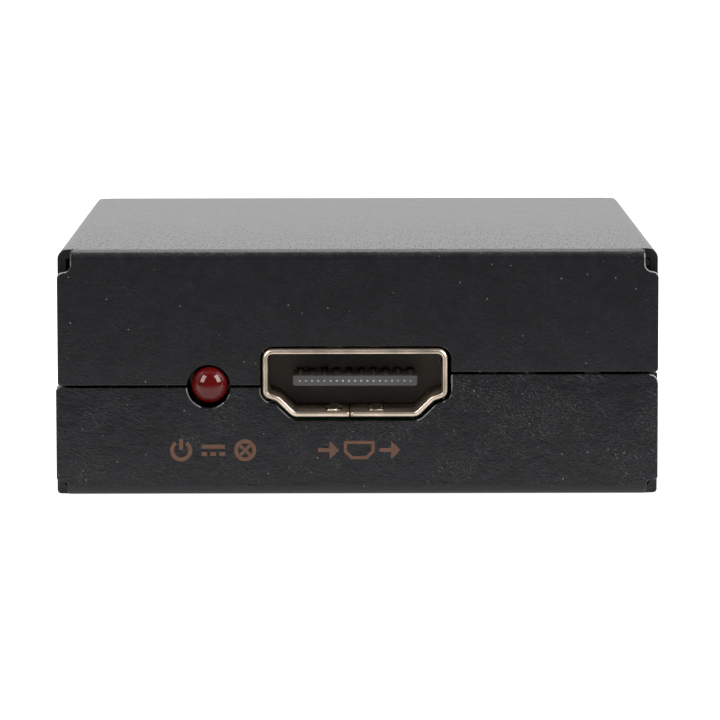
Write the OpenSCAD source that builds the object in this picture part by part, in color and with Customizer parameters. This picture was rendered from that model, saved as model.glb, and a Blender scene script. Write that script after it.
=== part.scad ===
// Display-identity emulator in a folded steel case: a cover and a tray of bent sheet meet at
// a stepped seam round one circuit board, which has a receptacle at each end, a power lamp
// at the front and a mode switch at the rear.
// X runs to the right seen from the front, Y to the rear and Z up. The origin is the centre
// of the underside.

/* [Case] */
// Width of the tray across its side walls
case_w = 48.9; // [47.5:0.1:60]
// Depth from the front panel's face to the rear panel's face
case_d = 56; // [54:0.5:80]
// Height from the underside to the top face
case_h = 20; // [18:0.1:28]
// Thickness of the steel sheet
sheet_t = 0.75; // [0.6:0.05:1.2]
// Inside radius of every bend
bend_in_r = 0.05; // [0.05:0.05:0.4]
// Outside radius of the tray's side bends, which are coined sharp
tray_side_bend_r = 0.3; // [0.2:0.05:0.8]
// How much narrower the cover is than the tray
cover_play = 0.15; // [0.05:0.05:0.3]
// Gap along the seam between the cover and the tray
seam_gap = 0.2; // [0.1:0.05:0.3]
// How much higher the seam runs to the right of the receptacles than to the left
seam_step = 1.05; // [0.4:0.05:1.6]
// Gap between a side flange's end and the panel flange in front of it
corner_gap = 0.2; // [0.1:0.05:0.4]

/* [Corner reliefs] */
// Width of the relief cut in the cover's corners
cover_relief_w = 1.1; // [0.8:0.05:1.6]
// Height of the relief cut in the cover's corners
cover_relief_h = 1.8; // [1.4:0.05:2.4]
// Width of the relief cut in the tray's corners
tray_relief_w = 0.9; // [0.7:0.05:1.4]
// Height of the relief cut in the tray's corners
tray_relief_h = 1.2; // [1.1:0.05:1.8]
// Radius in the root of each of the cover's reliefs
cover_relief_r = 0.6; // [0.3:0.05:0.7]
// Radius in the root of each of the tray's reliefs
tray_relief_r = 0.4; // [0.2:0.05:0.6]
// Radius of the cover's flange corners beside the reliefs
cover_flange_r = 0.5; // [0.2:0.05:0.6]
// Radius of the tray's flange corners beside the reliefs
tray_flange_r = 0.25; // [0.1:0.05:0.5]
// Radius where the cover's reliefs run out at the bend
cover_mouth_r = 0.35; // [0.1:0.05:0.5]
// Radius where the tray's reliefs run out at the bend
tray_mouth_r = 0.2; // [0.1:0.05:0.4]
// Radius of the tray's upper right corner, knocked round
tray_tip_r = 0.7; // [0.3:0.05:1]
// Radius of the other corners along the seam
lip_corner_r = 0.25; // [0.1:0.05:0.4]

/* [Board] */
// Height of the standoffs above the tray's floor
standoff_h = 4.05; // [3:0.05:5]
// Thickness of the circuit board
board_t = 1.6; // [1:0.1:2]
// Gap between the board's edge and what is beside it
board_gap = 0.75; // [0.3:0.05:1]
// Radius of the board's corners
board_corner_r = 1; // [0.5:0.1:2]

/* [Receptacles] */
// Place of the front receptacle's middle, left or right of the case's middle
port_x = -0.15; // [-0.5:0.05:0.5]
// Width of the shell outside
port_w = 15; // [14.6:0.05:15.4]
// Height of the shell outside
port_h = 5.55; // [5.3:0.05:5.9]
// Thickness of the shell's sheet
shell_t = 0.4; // [0.3:0.05:0.5]
// Length of the shell from its mouth to its rear edge
port_d = 11.2; // [10.6:0.1:12.4]
// How far the shell's mouth stands in front of the panel
port_proud = 0.4; // [0.3:0.05:0.6]
// Height of the shell's upright sides, from the top down
port_side_h = 3.9; // [3.6:0.05:4]
// Width of the step where the sides turn in
shoulder_w = 1.1; // [0.9:0.05:1.2]
// Fall of that step towards the middle
shoulder_fall = 0.33; // [0.2:0.01:0.4]
// Width of the shell's flat underside
port_foot_w = 10.1; // [9.8:0.05:10.4]
// Radius of the shell's upper corners
port_top_r = 0.8; // [0.6:0.05:1]
// Radius of the shell's shoulder bends
port_bend_r = 0.7; // [0.45:0.05:0.8]
// Radius of the bends at the ends of its underside
port_foot_r = 1; // [0.5:0.05:1.4]
// Gap between the shell and the cut-out round it
port_gap = 0.24; // [0.15:0.01:0.35]
// Depth of the mouth, to the insulator's face
mouth_d = 5.6; // [5:0.1:6.4]
// Width of the insulator's tongue
tongue_w = 10.1; // [9.8:0.05:10.4]
// Thickness of the tongue
tongue_t = 0.8; // [0.7:0.05:1]
// Height of the tongue's middle above the shell's middle
tongue_lift = 0.07; // [0:0.01:0.2]
// Distance of the tongue's tip behind the shell's mouth
tongue_back = 1.1; // [0.8:0.05:1.6]

/* [Contacts] */
// Contacts in each receptacle
contact_count = 19; // [15:2:19]
// Distance from one contact to the next
contact_pitch = 0.5; // [0.45:0.01:0.52]
// Width of a contact
contact_w = 0.3; // [0.2:0.01:0.34]
// Thickness of a contact
contact_t = 0.12; // [0.08:0.01:0.18]
// Length of a contact's foot on the board
contact_foot = 1.2; // [0.8:0.1:1.4]

/* [Power lamp] */
// Distance of the lamp's axis to the left of the receptacle's middle
lamp_offset = 11.8; // [11:0.1:12.6]
// Height of the lamp's axis above the board
lamp_lift = 2.6; // [2.3:0.05:3.2]
// Diameter of the lamp's dome
lamp_d = 3; // [2.6:0.05:3.2]
// Diameter of the rim at the lamp's base
lamp_rim_d = 3.8; // [3.6:0.05:4]
// Thickness of that rim
lamp_rim_t = 1; // [0.8:0.1:1.4]
// Length of the lamp from its base to its tip
lamp_len = 5.3; // [5:0.1:6]
// How far the lamp's tip stands in front of the panel
lamp_proud = 0.9; // [0.6:0.05:1.2]
// Diameter of the hole that the lamp looks through
lamp_hole_d = 3.5; // [3.4:0.05:3.9]
// Distance between the lamp's two leads
lead_pitch = 2.54; // [2.2:0.02:2.6]
// Thickness of the square leads
lead_t = 0.5; // [0.4:0.02:0.6]

/* [Mode switch] */
// Levers in the mode switch
lever_count = 4; // [4:1:4]
// Distance from one lever to the next
lever_pitch = 2.54; // [2.4:0.02:2.6]
// Height of the switch above the board
switch_h = 8; // [7:0.1:9]
// Depth of the switch's front housing
switch_front_d = 2.8; // [2.6:0.1:3.4]
// Depth of the switch's rear housing
switch_rear_d = 2.6; // [2.2:0.1:3]
// Width of a lever's knob
knob_w = 1.3; // [1:0.05:1.5]
// Height of a lever's knob
knob_h = 1.4; // [1.2:0.05:1.7]
// How far a knob stands out of the switch's face
knob_proud = 0.5; // [0.3:0.05:0.55]
// Travel of a lever from its lower to its upper stop
lever_travel = 1.5; // [1:0.05:1.8]
// Running clearance round a lever
lever_fit = 0.06; // [0.03:0.01:0.1]

/* [Fasteners] */
// Thread diameter of the countersunk screws in the cover's sides
cover_screw_d = 2; // [1.6:0.1:2.2]
// Head diameter of those screws
cover_head_d = 3.5; // [3.2:0.1:3.8]
// Length of those screws over the head
cover_screw_len = 4; // [3.4:0.1:5]
// Distance of those screws from the middle, towards the front and the rear
cover_screw_y = 14; // [10:0.5:16]
// Height of those screws above the seam's right half
cover_screw_lift = 3.6; // [3.2:0.1:4.2]
// Thread diameter of the screws that hold the board
board_screw_d = 2.5; // [2:0.1:2.6]
// Head diameter of those screws
board_head_d = 4.6; // [4.2:0.1:5]
// Head height of those screws
board_head_h = 1.5; // [1.2:0.1:1.8]
// Length of those screws' thread in the standoffs
board_screw_bite = 2.4; // [2:0.1:2.9]
// Distance of the board's screws from its side edges
board_screw_in = 3.4; // [3:0.1:4]
// Distance of the board's screws from its front and rear edges
board_screw_end = 10; // [9:0.1:11]

/* [Chips] */
// Side of the controller's square body
controller_l = 7; // [6:0.1:8]
// Height of the controller over the board
controller_h = 1.5; // [1.2:0.1:1.7]
// Length of a memory chip's body
memory_l = 4.9; // [4.6:0.1:5.4]
// Width of a memory chip's body
memory_w = 3.9; // [3.6:0.1:4.2]
// Height of a memory chip over the board
memory_h = 1.6; // [1.3:0.1:1.75]
// Side of a surge array's square body
surge_l = 3; // [2.8:0.1:3.2]
// Height of a surge array over the board
surge_h = 1; // [0.8:0.1:1.2]
// Length of the regulator's body
regulator_l = 6.5; // [6:0.1:7]
// Width of the regulator's body
regulator_w = 3.5; // [3.2:0.1:3.8]
// Height of the regulator over the board
regulator_h = 1.7; // [1.4:0.1:1.8]
// Length of a switching transistor's body
transistor_l = 2.9; // [2.7:0.05:3.1]
// Width of a switching transistor's body
transistor_w = 1.3; // [1.2:0.05:1.5]
// Height of a switching transistor over the board
transistor_h = 1; // [0.8:0.05:1.2]

/* [Passive parts] */
// Length of the crystal
crystal_l = 5; // [4.6:0.1:5.4]
// Width of the crystal
crystal_w = 3.2; // [3:0.1:3.6]
// Height of the crystal's ceramic base
crystal_base_h = 0.7; // [0.5:0.05:0.9]
// Height of the crystal's lid
crystal_lid_h = 0.4; // [0.3:0.05:0.5]
// Diameter of the reservoir capacitor's can
can_d = 5; // [4:0.1:5.6]
// Height of that can
can_h = 4.8; // [4:0.1:5.8]
// Height of the plastic base under that can
can_base_h = 0.6; // [0.4:0.05:0.8]
// Length of a chip resistor or chip capacitor
chip_l = 1.6; // [1.4:0.05:1.8]
// Width of a chip resistor or chip capacitor
chip_w = 0.8; // [0.7:0.05:0.95]
// Height of a chip resistor
resistor_h = 0.45; // [0.35:0.05:0.6]
// Height of a chip capacitor
capacitor_h = 0.8; // [0.6:0.05:0.95]
// Length of each metal end on those chips
chip_end = 0.3; // [0.2:0.05:0.4]

/* [Hidden] */

// Sides of every true circle, steps in each rounded corner, and how far cuts run past
$fn = 48;
corner_steps = 6;
overrun = 0.5;

// Case: the bends, the cover's width and its place against the tray's right side
bend_r = bend_in_r + sheet_t;
cover_w = case_w - cover_play;
cover_x = cover_play / 2;
flange_end_y = case_d / 2 - sheet_t - corner_gap;
cover_relief = [cover_relief_w, cover_relief_h, cover_relief_r, cover_flange_r, cover_mouth_r];
tray_relief = [tray_relief_w, tray_relief_h, tray_relief_r, tray_flange_r, tray_mouth_r];
mouth_land = 0.05;

// Heights that follow from the board
board_low = sheet_t + standoff_h;
board_top = board_low + board_t;
lamp_z = board_top + lamp_lift;

// Lamp: its hole sits a little low and left of it, and the seam's left half crosses that hole
lamp_x = port_x - lamp_offset;
lamp_base_y = -case_d / 2 - lamp_proud + lamp_len;
lamp_hole_off = [-0.1, -0.13];
lamp_hole_at = [lamp_x, lamp_z] + lamp_hole_off;
seam_left = lamp_hole_at.y;
seam_right = seam_left + seam_step;
lead_straight = 1;
lead_down_y = lamp_base_y + lead_straight;
lead_below = 1;
post_w = 0.7;
post_len = 1.7;
post_gap = 0.5;
lead_hole_fit = 0.15;
rim_flat = 0.25;

// Side lugs: rise from inside the tray's walls, step in and stand behind the cover's flanges
lug_t = 1.2;
lug_play = 0.1;
lug_w = 7;
lug_low = 2.2;
lug_bite = 0.4;
lug_over_screw = 2.8;
lug_corner_r = 1.5;
lug_jog = cover_play + lug_play;
lug_in = case_w / 2 - sheet_t - lug_jog - lug_t;
cover_screw_z = seam_right + cover_screw_lift;
lug_top = cover_screw_z + lug_over_screw;

// Board outline
board_w = 2 * (lug_in - board_gap);
board_d = case_d - 2 * (sheet_t + board_gap);
board_screw_x = board_w / 2 - board_screw_in;
board_screw_y = board_d / 2 - board_screw_end;
board_hole_fit = 0.1;

// Screws: clearance, countersink, cross recess, standoff
screw_fit = 0.04;
cover_cone_h = (cover_head_d - cover_screw_d) / 2;
head_recess = 0.04;
cross_w = 0.4;
cross_share = 0.56;
cross_depth = 0.65;
head_edge = 0.4;
standoff_r = 2.3;
spigot_r = 2;
spigot_recess = 0.1;

// Receptacle: legs, springs, seam of the shell, insulator
port_mouth_y = -case_d / 2 - port_proud;
port_gap_off = [0.06, -0.07];
leg_w = 1.2;
leg_front_y = 3.2;
leg_rear_in = 2;
leg_y = [leg_front_y, port_d - leg_rear_in];
leg_below = 0.7;
leg_fit = 0.15;
spring_x = 1.72;
spring_w = 0.8;
spring_t = 0.2;
spring_slit = 0.2;
spring_y = 1.5;
spring_len = 3;
spring_rise = 0.3;
shell_slit = 0.08;
shell_slit_x = -0.45;
tail_window_d = 2.6;
tail_window_side = 0.3;
insulator_fit = 0.04;
insulator_short = 0.7;
insulator_back = port_d - insulator_short;
tongue_mid = port_h / 2 + tongue_lift;
tongue_low = tongue_mid - tongue_t / 2;
tongue_top = tongue_mid + tongue_t / 2;
tongue_edge = 0.2;
tip_w = 0.16;
tip_h = 0.14;
tip_len = 0.45;
comb_w = 0.6;
comb_h = 0.25;
comb_d = 0.7;

// Mode switch: housings, slots, lever bases, pins, and the rear receptacle beside it
switch_end = 0.8;
switch_w = lever_count * lever_pitch + 2 * switch_end;
switch_edge = 0.3;
switch_x = board_w / 2 - switch_edge - switch_w / 2;
switch_recess = 0.2;
switch_face_y = case_d / 2 - switch_recess;
switch_back_y = switch_face_y - switch_front_d;
switch_window_gap = 0.2;
switch_wall = 0.8;
lever_base_side = 0.3;
lever_base_h = 2;
lever_base_d = switch_front_d - switch_wall - 2 * lever_fit;
knob_low = board_top + (switch_h - knob_h - lever_travel) / 2;
lever_base_low = knob_low + (knob_h - lever_base_h) / 2;
port_switch_gap = 1.79;
rear_port_x = switch_x - switch_w / 2 - port_switch_gap - port_w / 2;
switch_rim = 0.3;
switch_rim_h = 0.5;
pin_w = 0.5;
pin_t = 0.3;
pin_below = 0.9;
pin_row = 1.3;
pin_fit = 0.12;

// Chips: leads of each package, their trim, and places as shares of half the board's width and
// of half the length left free between the receptacles
bay_half = -port_mouth_y - insulator_back - contact_foot;
chip_lift = 0.1;
chip_edge = 0.25;
dot_r = 0.35;
dot_in = 1.1;
dot_depth = 0.1;
controller_side_pins = 12;
controller_pin_pitch = 0.5;
controller_pin_w = 0.22;
memory_side_pins = 4;
memory_pin_pitch = 1.27;
memory_pin_w = 0.42;
surge_side_pins = 5;
surge_pin_pitch = 0.5;
surge_pin_w = 0.2;
regulator_pin_pitch = 2.3;
regulator_pin_w = 0.7;
regulator_tab_w = 3;
transistor_pin_pitch = 1.9;
transistor_pin_w = 0.4;
pin_sheet = 0.15;
pin_reach = 1;
pin_knee = 0.3;
controller_at_shares = [-0.075, 0];
memory_at_shares = [[0.46, 0.27], [0.46, -0.27]];
surge_at_shares = [[-0.16, -0.75], [0.16, -0.75], [-0.16, 0.75], [0.16, 0.75]];
regulator_at_shares = [-0.63, 0.32];
transistor_at_shares = [[0.44, -0.7], [0.62, -0.7], [0.44, 0.7], [0.62, 0.7]];

// Passive parts: the crystal's lid step, the can's place between the front receptacle and the
// board's edge, its groove and leads, and the chips' places as shares
crystal_at_shares = [-0.63, -0.22];
lid_step = 0.25;
can_x_share = 0.36;
can_front_in = 4;
can_base_side = 0.25;
can_lead_w = 0.7;
can_lead_t = 0.2;
can_lead_reach = 0.6;
can_groove = 0.3;
can_groove_h = 0.4;
can_groove_at = 1.2;
can_edge = 0.35;
chip_side = 0.04;
resistor_at_shares = [[-0.39, -0.27], [-0.39, -0.16], [-0.39, 0.17], [-0.39, 0.28], [0.25, -0.27],
    [0.25, -0.16], [0.25, 0.17], [0.25, 0.28], [-0.28, -0.44], [0.04, -0.44], [-0.28, 0.44],
    [0.04, 0.44], [-0.42, -1.05], [-0.42, -0.94]];
capacitor_at_shares = [[-0.39, -0.05], [-0.39, 0.06], [0.25, -0.05], [0.25, 0.06], [-0.12, -0.44],
    [-0.12, 0.44], [0.4, -0.95], [-0.87, 0.24], [-0.87, 0.35], [-0.87, 0.46], [-0.87, -0.16],
    [-0.87, -0.28], [0.74, -0.27], [0.74, 0.27], [-0.42, 0.94]];

// Colours
coat = [0.13, 0.13, 0.135];
gold = [0.83, 0.72, 0.52];
steel = [0.72, 0.73, 0.74];
tin = [0.78, 0.79, 0.8];
black_plastic = [0.07, 0.07, 0.075];
insulator_grey = [0.2, 0.2, 0.21];
board_green = [0.06, 0.22, 0.12];
lamp_red = [0.45, 0.03, 0.04];
switch_blue = [0.09, 0.19, 0.42];
lever_white = [0.9, 0.9, 0.87];
resistor_black = [0.1, 0.1, 0.11];
capacitor_tan = [0.62, 0.5, 0.36];
ceramic = [0.5, 0.46, 0.4];

// Planar vectors: length one, and turned by an angle
function unit(v) = v / norm(v);
function xy(p) = [p.x, p.y];
function turned(v, angle) = [v.x * cos(angle) - v.y * sin(angle), v.x * sin(angle) + v.y * cos(angle)];

// Corners are [x, y, radius], anticlockwise. Each moves inwards by t, and outwards where t is
// below zero; a radius below zero marks a hollow corner, and grows where the others shrink
function inset(corners, t) = [for (i = [0 : len(corners) - 1])
    let (n = len(corners), q = corners[i],
        d1 = unit(xy(q) - xy(corners[(i + n - 1) % n])), d2 = unit(xy(corners[(i + 1) % n]) - xy(q)),
        n1 = [-d1.y, d1.x], n2 = [-d2.y, d2.x], m = xy(q) + t * (n1 + n2) / (1 + n1 * n2))
    [m.x, m.y, q.z < 0 ? q.z - t : max(0, q.z - t)]];

// The outline through those corners, each one rounded to its radius
function rounded(corners) = [for (i = [0 : len(corners) - 1])
    let (n = len(corners), q = xy(corners[i]), r = abs(corners[i].z),
        u = unit(xy(corners[(i + n - 1) % n]) - q), v = unit(xy(corners[(i + 1) % n]) - q),
        half = acos(u * v) / 2, centre = q + unit(u + v) * r / sin(half),
        a = q + u * r / tan(half) - centre, b = q + v * r / tan(half) - centre,
        sweep = (180 - 2 * half) * sign(cross(a, b)))
    each r == 0 ? [q] : [for (k = [0 : corner_steps]) centre + turned(a, sweep * k / corner_steps)]];

// Box from its lowest to its highest corner
module block(low, high) translate(low) cube(high - low);

// Upright bar of a given section, centred on a place
module bar(at, section, z_from, z_to) translate([at.x - section.x / 2, at.y - section.y / 2, z_from])
    cube([section.x, section.y, z_to - z_from]);

// Outline in X and Z, run along Y
module prism_y(outline, y_from, y_to)
    translate([0, y_to, 0]) rotate([90, 0, 0]) linear_extrude(y_to - y_from) polygon(outline);

// Outline in Y and Z, run along X
module prism_x(outline, x_from, x_to)
    translate([x_from, 0, 0]) rotate([90, 0, 90]) linear_extrude(x_to - x_from) polygon(outline);

// Case

// Cross-section of a panel with a leg bent down at each side, its outer face at zero height
function bent_channel(half, leg_a, leg_b, out_r) = rounded([[-half, -leg_a, 0],
    [-half + sheet_t, -leg_a, 0], [-half + sheet_t, -sheet_t, -bend_in_r],
    [half - sheet_t, -sheet_t, -bend_in_r], [half - sheet_t, -leg_b, 0], [half, -leg_b, 0],
    [half, 0, out_r], [-half, 0, out_r]]);

// Front view of a half of the case: stepped along the seam and relieved at the two bent corners. A
// relief has a width, a height, and radii in its root, at the flange's corner and at its mouth
function flange_view(half, step_x, leg_left, leg_right, relief, tip_r) =
    let (neck = half - relief[0], low = -relief[1], root_r = relief[2],
        corner_r = min(relief[3], relief[0] - root_r), mouth = neck - relief[4] - mouth_land)
    rounded([[-half, -leg_left, lip_corner_r], [step_x, -leg_left, 0], [step_x, -leg_right, 0],
        [half, -leg_right, tip_r], [half, low, corner_r], [neck, low, -root_r], [neck, 0, relief[4]],
        [mouth, 0, 0], [mouth, overrun, 0], [-mouth, overrun, 0], [-mouth, 0, 0],
        [-neck, 0, relief[4]], [-neck, low, -root_r], [-half, low, corner_r]]);

// A panel with flanges on all four sides: the front and rear ones run the full width, and the
// side ones end just behind them
module folded_half(w, step_x, leg_left, leg_right, relief, tip_r, side_bend_r) {
    longest = max(leg_left, leg_right) + overrun;
    intersection() {
        prism_x(bent_channel(case_d / 2, longest, longest, bend_r), -w / 2, w / 2);
        prism_y(flange_view(w / 2, step_x, leg_left, leg_right, relief, tip_r),
            -case_d / 2 - overrun, case_d / 2 + overrun);
    }
    prism_y(bent_channel(w / 2, leg_left, leg_right, side_bend_r), -flange_end_y, flange_end_y);
}

// What is drawn for the front receptacle, turned round to the rear one's place
module as_rear_port() translate([rear_port_x + port_x, 0, 0]) rotate(180) children();

// Everything that looks out through the panels: both receptacles, the lamp and the switch
module port_cut() translate([port_x + port_gap_off.x, 0, board_top + port_gap_off.y])
    prism_y(rounded(inset(port_corners(), -port_gap)), -case_d / 2 - overrun,
        -case_d / 2 + sheet_t + overrun);
module panel_cuts() {
    port_cut();
    as_rear_port() port_cut();
    translate([lamp_hole_at.x, -case_d / 2 + sheet_t + overrun, lamp_hole_at.y])
        rotate([90, 0, 0]) cylinder(h = sheet_t + 2 * overrun, d = lamp_hole_d);
    block([switch_x - switch_w / 2 - switch_window_gap, case_d / 2 - sheet_t - overrun,
            board_top - switch_window_gap],
        [switch_x + switch_w / 2 + switch_window_gap, case_d / 2 + overrun,
            board_top + switch_h + switch_window_gap]);
}

// Places of the cover's four screws: zero at the cover's outer face, +Z out of the case
module at_cover_screws()
    for (side = [-1, 1], y = [-cover_screw_y, cover_screw_y])
        translate([cover_x + side * cover_w / 2, y, cover_screw_z]) rotate([0, side * 90, 0]) children();

module top_cover() color(coat) difference() {
    translate([cover_x, 0, case_h]) folded_half(cover_w, port_x, case_h - seam_left - seam_gap / 2,
        case_h - seam_right - seam_gap / 2, cover_relief, lip_corner_r, bend_r);
    panel_cuts();
    at_cover_screws() {
        translate([0, 0, -sheet_t - overrun])
            cylinder(h = sheet_t + 2 * overrun, d = cover_screw_d + 2 * screw_fit);
        translate([0, 0, -cover_cone_h]) cylinder(h = cover_cone_h + overrun,
            r1 = cover_screw_d / 2 + screw_fit, r2 = cover_head_d / 2 + screw_fit + overrun);
    }
}

// Lug seen from the front on the right side, and its rounded top seen from the side
function lug_profile() = let (wall = case_w / 2 - sheet_t, bend = seam_left - lug_bite - seam_gap)
    [[lug_in, lug_low], [wall + lug_bite, lug_low], [wall + lug_bite, bend - lug_jog],
        [wall, bend - lug_jog], [wall - lug_jog, bend], [wall - lug_jog, lug_top], [lug_in, lug_top]];
function lug_face() = rounded([[-lug_w / 2, lug_low, 0], [lug_w / 2, lug_low, 0],
    [lug_w / 2, lug_top, lug_corner_r], [-lug_w / 2, lug_top, lug_corner_r]]);

module bottom_tray() color(coat) difference() {
    union() {
        mirror([0, 0, 1]) folded_half(case_w, port_x, seam_left - seam_gap / 2,
            seam_right - seam_gap / 2, tray_relief, tray_tip_r, tray_side_bend_r);
        for (side = [0, 1], y = [-cover_screw_y, cover_screw_y]) mirror([side, 0, 0]) translate([0, y, 0])
            intersection() {
                prism_y(lug_profile(), -lug_w / 2, lug_w / 2);
                prism_x(lug_face(), lug_in - overrun, case_w / 2);
            }
    }
    panel_cuts();
    at_cover_screws() translate([0, 0, -cover_screw_len])
        cylinder(h = cover_screw_len, d = cover_screw_d + 2 * screw_fit);
    at_board_screws() translate([0, 0, -overrun])
        cylinder(h = sheet_t + 2 * overrun, r = spigot_r + screw_fit);
}

// Fasteners

// Cross-shaped recess in a screw's head, cut down from zero height
module cross_recess(head_d) for (turn = [0, 90]) rotate(turn)
    bar([0, 0], [head_d * cross_share, cross_w], -cross_depth, overrun);

module cover_screws() color(steel) at_cover_screws() difference() {
    union() {
        translate([0, 0, -head_recess - cover_cone_h])
            cylinder(h = cover_cone_h, d1 = cover_screw_d, d2 = cover_head_d);
        translate([0, 0, -cover_screw_len]) cylinder(h = cover_screw_len - cover_cone_h, d = cover_screw_d);
    }
    translate([0, 0, -head_recess]) cross_recess(cover_head_d);
}

// Places of the board's four screws, at the underside of the case
module at_board_screws()
    for (x = [-board_screw_x, board_screw_x], y = [-board_screw_y, board_screw_y])
        translate([x, y, 0]) children();

module board_standoffs() color(steel) at_board_screws() difference() {
    union() {
        translate([0, 0, sheet_t]) cylinder(h = standoff_h, r = standoff_r);
        translate([0, 0, spigot_recess]) cylinder(h = board_low - spigot_recess, r = spigot_r);
    }
    translate([0, 0, sheet_t]) cylinder(h = standoff_h + overrun, d = board_screw_d + 2 * screw_fit);
}

module board_screws() color(steel) at_board_screws() translate([0, 0, board_top]) difference() {
    union() {
        translate([0, 0, -board_t - board_screw_bite])
            cylinder(h = board_t + board_screw_bite + head_edge, d = board_screw_d);
        cylinder(h = board_head_h - head_edge, d = board_head_d);
        translate([0, 0, board_head_h - head_edge])
            cylinder(h = head_edge, d1 = board_head_d, d2 = board_head_d - 2 * head_edge);
    }
    translate([0, 0, board_head_h]) cross_recess(board_head_d);
}

// Circuit board, with holes for its screws and for every lead and leg that passes through it
module port_leg_holes() at_front_port() for (side = [0, 1], y = leg_y) mirror([side, 0, 0])
    block([port_w / 2 - shell_t - leg_fit, y - leg_w / 2 - leg_fit, -board_t - overrun],
        [port_w / 2 + leg_fit, y + leg_w / 2 + leg_fit, overrun]);
module circuit_board() color(board_green) difference() {
    corners = [for (at = [[-1, -1], [1, -1], [1, 1], [-1, 1]])
        [at.x * board_w / 2, at.y * board_d / 2, board_corner_r]];
    translate([0, 0, board_low]) linear_extrude(board_t) polygon(rounded(corners));
    at_board_screws() translate([0, 0, board_low - overrun])
        cylinder(h = board_t + 2 * overrun, d = board_screw_d + 2 * board_hole_fit);
    port_leg_holes();
    as_rear_port() port_leg_holes();
    for (side = [-1, 1])
        translate([lamp_x + side * lead_pitch / 2, lead_down_y, board_low - overrun])
            cylinder(h = board_t + 2 * overrun, r = lead_t * sqrt(2) / 2 + lead_hole_fit);
    for (i = [0 : lever_count - 1], row = [-1, 1])
        translate([lever_x(i), switch_pin_y(row), board_low - overrun])
            cylinder(h = board_t + 2 * overrun, r = pin_w / 2 + pin_fit);
}

// Receptacles, drawn for the front one: zero is the middle of the mouth's lower edge on the board
module at_front_port() translate([port_x, port_mouth_y, board_top]) children();

// Outline of the shell: upright sides, a falling shoulder each side, and a narrower foot
function port_corners() = let (half = port_w / 2, foot = port_foot_w / 2, side_low = port_h - port_side_h,
        step_low = side_low - shoulder_fall)
    [[-foot, 0, port_foot_r], [foot, 0, port_foot_r], [half - shoulder_w, step_low, -port_bend_r],
        [half, side_low, port_bend_r], [half, port_h, port_top_r], [-half, port_h, port_top_r],
        [-half, side_low, port_bend_r], [-half + shoulder_w, step_low, -port_bend_r]];

// Springs bent in from the shell's top and underside, and the slits that free them
module spring_slits() for (x = [-spring_x, spring_x], z = [0, port_h - shell_t])
    block([x - spring_w / 2 - spring_slit, spring_y, z - overrun],
        [x + spring_w / 2 + spring_slit, spring_y + spring_len + spring_slit, z + shell_t + overrun]);
module springs() for (x = [-spring_x, spring_x], top = [0, 1])
    translate([x, spring_y - shell_t, top * port_h]) mirror([0, 0, top])
        translate([0, 0, (shell_t - spring_t) / 2]) rotate([atan(spring_rise / spring_len), 0, 0])
            translate([-spring_w / 2, 0, 0]) cube([spring_w, spring_len + shell_t, spring_t]);

module port_shell() color(gold) {
    difference() {
        prism_y(rounded(port_corners()), 0, port_d);
        prism_y(rounded(inset(port_corners(), shell_t)), -overrun, port_d + overrun);
        spring_slits();
        block([shell_slit_x - shell_slit / 2, -overrun, -overrun],
            [shell_slit_x + shell_slit / 2, port_d + overrun, port_h / 2]);
        block([-port_foot_w / 2 + tail_window_side, port_d - tail_window_d, -overrun],
            [port_foot_w / 2 - tail_window_side, port_d + overrun, port_h - port_side_h]);
    }
    springs();
    for (side = [0, 1], y = leg_y) mirror([side, 0, 0]) block([port_w / 2 - shell_t, y - leg_w / 2,
        -board_t - leg_below], [port_w / 2, y + leg_w / 2, port_h / 2]);
}

// One contact: a blade let into the tongue, its tip in the tongue's nose, its tail behind the
// insulator and its foot on the board. Every second one lies in the tongue's underside
function contact_x(i) = (i - (contact_count - 1) / 2) * contact_pitch;
module port_contact(i) {
    x = contact_x(i);
    low = i % 2 == 0 ? tongue_top - contact_t : tongue_low;
    neck_y = tongue_back + tip_len;
    left = x - contact_w / 2;
    right = x + contact_w / 2;
    tip_low = tongue_mid - tip_h / 2;
    block([left, neck_y - contact_t, low], [right, insulator_back + contact_t, low + contact_t]);
    block([left, neck_y - contact_t, min(low, tip_low)],
        [right, neck_y, max(low + contact_t, tip_low + tip_h)]);
    block([x - tip_w / 2, tongue_back, tip_low], [x + tip_w / 2, neck_y, tip_low + tip_h]);
    block([left, insulator_back, 0], [right, insulator_back + contact_t, low + contact_t]);
    block([left, insulator_back, 0], [right, insulator_back + contact_foot, contact_t]);
}
module port_contacts() color(gold) for (i = [0 : contact_count - 1]) port_contact(i);

// Insulator: a block that fills the shell's rear, a foot on the board and the tongue in front
module port_insulator() color(insulator_grey) difference() {
    foot = port_foot_w / 2 - tail_window_side - insulator_fit;
    half = tongue_w / 2;
    union() {
        prism_y(rounded(inset(port_corners(), shell_t + insulator_fit)), mouth_d, insulator_back);
        block([-foot, port_d - tail_window_d + insulator_fit, 0], [foot, insulator_back, port_h / 2]);
        prism_y(rounded([[-half, tongue_low, tongue_edge], [half, tongue_low, tongue_edge],
            [half, tongue_top, 0], [-half, tongue_top, 0]]), tongue_back, mouth_d + overrun);
    }
    for (i = [0 : contact_count - 1]) port_contact(i);
    for (i = [0 : 2 : contact_count - 1]) translate([contact_x(i), mouth_d, 0])
        block([-comb_w / 2, -overrun, tongue_top], [comb_w / 2, comb_d, tongue_top + comb_h]);
}

module front_port_shell() at_front_port() port_shell();
module front_port_insulator() at_front_port() port_insulator();
module front_port_contacts() at_front_port() port_contacts();
module rear_port_shell() as_rear_port() front_port_shell();
module rear_port_insulator() as_rear_port() front_port_insulator();
module rear_port_contacts() as_rear_port() front_port_contacts();

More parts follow.
